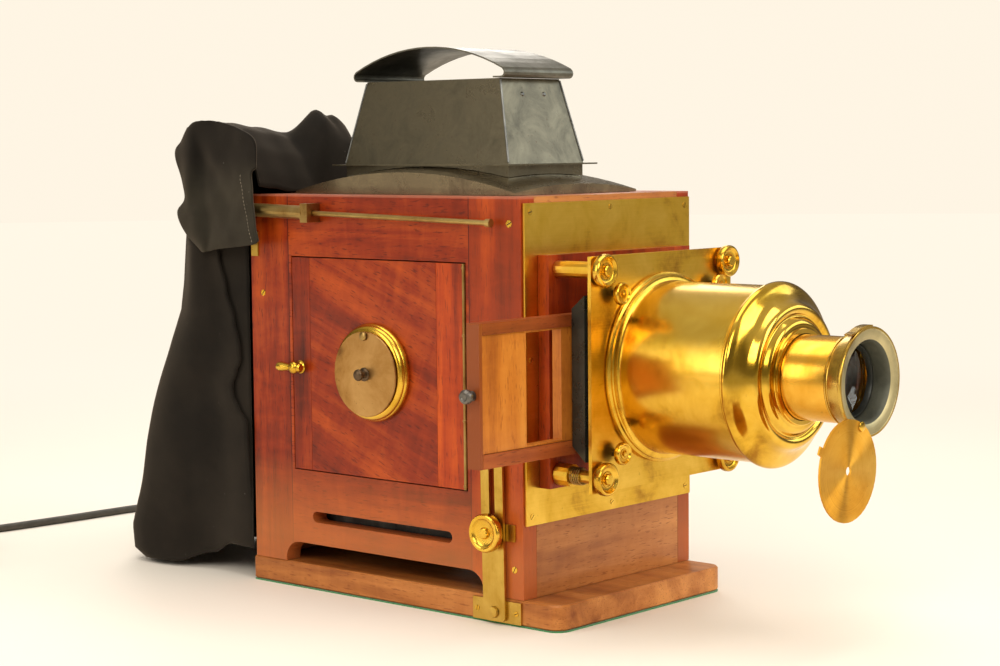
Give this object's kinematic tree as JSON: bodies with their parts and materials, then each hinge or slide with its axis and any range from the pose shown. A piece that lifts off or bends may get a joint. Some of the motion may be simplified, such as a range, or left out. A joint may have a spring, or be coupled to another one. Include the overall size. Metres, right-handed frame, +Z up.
{
  "type": "optical slide lantern",
  "caption": "Mahogany and brass magic lantern on a hinged base, with a side door, chimney, slide carrier, focusing lens with flap, black curtain and mains lead.",
  "frame": {"origin": "centre of the baize under the baseboard, on the surface it stands on", "axes": "+Z up; the optical axis lies along Y with the lens at -Y and the curtain at +Y; the door is on the -X side"},
  "size_m": [0.3899, 0.9021, 0.4373],
  "materials": {
    "mahogany": "french-polished red mahogany",
    "dark_wood": "darker mahogany",
    "satinwood": "orange-brown straight-grained hardwood",
    "brass": "lacquered brass",
    "old_brass": "aged, dulled brass",
    "iron": "blued planished sheet iron",
    "black_paint": "matt black paint",
    "baize": "green baize",
    "glass": "clear polished glass",
    "dark_glass": "dark viewing glass",
    "cloth": "black cotton sateen",
    "flex": "brown sheathed mains flex",
    "moulding": "black moulding"
  },
  "bodies": {
    "base": {"baize": "baize", "baseboard": "mahogany", "tilt_hinge": "brass", "strut_bracket_left": "brass", "strut_bracket_right": "brass", "cord": "flex", "cord_coil": "flex", "plug": "moulding"},
    "case": {"side_panel_left": "mahogany", "side_panel_right": "mahogany", "front_panel": "mahogany", "top_board": "dark_wood", "rear_frame": "mahogany", "iron_lining": "iron", "roof_dome": "iron", "front_plate": "brass", "stage_block": "mahogany", "lens_plate": "brass", "lens_barrel": "brass", "barrel_cap": "brass", "condenser_cell": "old_brass", "condenser_lens": "glass", "curtain_tube_left": "brass", "curtain_tube_right": "brass", "door_hinge": "brass", "curtain": "cloth", "cord_gland": "moulding"},
    "strut_left": {"strut_left": "brass"},
    "strut_right": {"strut_right": "brass"},
    "clamp_knob_left": {"clamp_knob_left": "brass"},
    "clamp_knob_right": {"clamp_knob_right": "brass"},
    "door": {"door_panel": "mahogany", "door_stile_front": "mahogany", "door_stile_rear": "mahogany", "peephole_bezel": "brass", "peephole_glass": "dark_glass"},
    "peephole_cover": {"peephole_cover": "old_brass"},
    "door_catch": {"door_catch": "brass"},
    "chimney": {"chimney": "iron", "chimney_cap": "iron"},
    "lamp": {"lamp_tray": "black_paint", "lamp_holder": "old_brass", "lamp_bulb": "glass"},
    "curtain_rod_left": {"curtain_rod_left": "old_brass"},
    "curtain_rod_right": {"curtain_rod_right": "old_brass"},
    "pressure_plate": {"pressure_plate": "black_paint"},
    "carrier_frame": {"carrier_frame": "dark_wood"},
    "carrier_shuttle": {"carrier_shuttle": "satinwood"},
    "objective": {"objective_tube": "brass", "objective_hood": "brass", "objective_lens": "glass"},
    "lens_flap": {"lens_flap": "brass"},
    "plate_nut_top_left": {"plate_nut_top_left": "brass"},
    "flange_screw_top_left": {"flange_screw_top_left": "brass"},
    "plate_nut_top_right": {"plate_nut_top_right": "brass"},
    "flange_screw_top_right": {"flange_screw_top_right": "brass"},
    "plate_nut_low_left": {"plate_nut_low_left": "brass"},
    "flange_screw_low_left": {"flange_screw_low_left": "brass"},
    "plate_nut_low_right": {"plate_nut_low_right": "brass"},
    "flange_screw_low_right": {"flange_screw_low_right": "brass"}
  },
  "joints": [
    {"name": "case_tilt", "type": "hinge", "parent": "base", "child": "case", "pos_m": [0, 0.1668, 0.023], "axis": [-1, 0, 0], "range_deg": [0, 10]},
    {"name": "strut_left_pivot", "type": "hinge", "parent": "base", "child": "strut_left", "pos_m": [-0.1064, -0.1055, 0.0095], "axis": [-1, 0, 0], "range_deg": [0, 6.5]},
    {"name": "strut_right_pivot", "type": "hinge", "parent": "base", "child": "strut_right", "pos_m": [0.1064, -0.1055, 0.0095], "axis": [-1, 0, 0], "range_deg": [0, 6.5]},
    {"name": "clamp_knob_left_turn", "type": "hinge", "parent": "case", "child": "clamp_knob_left", "pos_m": [-0.1125, -0.1046, 0.0704], "axis": [-1, 0, 0], "range_deg": [0, 270]},
    {"name": "clamp_knob_right_turn", "type": "hinge", "parent": "case", "child": "clamp_knob_right", "pos_m": [0.1125, -0.1046, 0.0704], "axis": [1, 0, 0], "range_deg": [0, 270]},
    {"name": "door_swing", "type": "hinge", "parent": "case", "child": "door", "pos_m": [-0.1036, -0.0745, 0.184], "axis": [0, 0, 1], "range_deg": [0, 100]},
    {"name": "cover_swing", "type": "hinge", "parent": "door", "child": "peephole_cover", "pos_m": [-0.1137, 0.0212, 0.2115], "axis": [-1, 0, 0], "range_deg": [-110, 110]},
    {"name": "catch_turn", "type": "hinge", "parent": "door", "child": "door_catch", "pos_m": [-0.1065, 0.105, 0.1815], "axis": [-1, 0, 0], "range_deg": [0, 90]},
    {"name": "chimney_lift", "type": "slide", "parent": "case", "child": "chimney", "axis": [0, 0, 1], "range_m": [0, 0.06]},
    {"name": "lamp_slide", "type": "slide", "parent": "case", "child": "lamp", "axis": [0, 1, 0], "range_m": [0, 0.06]},
    {"name": "rod_left_slide", "type": "slide", "parent": "case", "child": "curtain_rod_left", "axis": [0, 0.9997, 0.0252], "range_m": [0, 0.15]},
    {"name": "rod_right_slide", "type": "slide", "parent": "case", "child": "curtain_rod_right", "axis": [0, 0.9997, 0.0252], "range_m": [0, 0.15]},
    {"name": "pressure_slide", "type": "slide", "parent": "case", "child": "pressure_plate", "axis": [0, -1, 0], "range_m": [0, 0.0045], "stiffness_N_per_m": 400, "springref_m": -0.01},
    {"name": "carrier_slide", "type": "slide", "parent": "case", "child": "carrier_frame", "axis": [-1, 0, 0], "range_m": [0, 0.1]},
    {"name": "shuttle_slide", "type": "slide", "parent": "carrier_frame", "child": "carrier_shuttle", "axis": [-1, 0, 0], "range_m": [0, 0.13]},
    {"name": "focus_slide", "type": "slide", "parent": "case", "child": "objective", "axis": [0, -1, 0], "range_m": [-0.02, 0.02]},
    {"name": "flap_swing", "type": "hinge", "parent": "objective", "child": "lens_flap", "pos_m": [-0.01547, -0.367, 0.16099], "axis": [0, 1, 0], "range_deg": [-27.5, 180]},
    {"name": "plate_nut_top_left_turn", "type": "hinge", "parent": "case", "child": "plate_nut_top_left", "pos_m": [-0.0765, -0.188, 0.2672], "axis": [0, -1, 0], "range_deg": [0, 180]},
    {"name": "plate_nut_top_right_turn", "type": "hinge", "parent": "case", "child": "plate_nut_top_right", "pos_m": [0.0765, -0.188, 0.2672], "axis": [0, -1, 0], "range_deg": [0, 180]},
    {"name": "plate_nut_low_left_turn", "type": "hinge", "parent": "case", "child": "plate_nut_low_left", "pos_m": [-0.0765, -0.188, 0.1142], "axis": [0, -1, 0], "range_deg": [0, 180]},
    {"name": "plate_nut_low_right_turn", "type": "hinge", "parent": "case", "child": "plate_nut_low_right", "pos_m": [0.0765, -0.188, 0.1142], "axis": [0, -1, 0], "range_deg": [0, 180]},
    {"name": "flange_screw_top_left_turn", "type": "hinge", "parent": "case", "child": "flange_screw_top_left", "pos_m": [-0.061, -0.19, 0.2497], "axis": [0, -1, 0], "range_deg": [0, 180]},
    {"name": "flange_screw_top_right_turn", "type": "hinge", "parent": "case", "child": "flange_screw_top_right", "pos_m": [0.061, -0.19, 0.2497], "axis": [0, -1, 0], "range_deg": [0, 180]},
    {"name": "flange_screw_low_left_turn", "type": "hinge", "parent": "case", "child": "flange_screw_low_left", "pos_m": [-0.061, -0.19, 0.1317], "axis": [0, -1, 0], "range_deg": [0, 180]},
    {"name": "flange_screw_low_right_turn", "type": "hinge", "parent": "case", "child": "flange_screw_low_right", "pos_m": [0.061, -0.19, 0.1317], "axis": [0, -1, 0], "range_deg": [0, 180]}
  ],
  "couplings": [
    {"joint": "strut_left_pivot", "follows": "case_tilt", "ratio": 0.615},
    {"joint": "strut_right_pivot", "follows": "case_tilt", "ratio": 0.615}
  ]
}
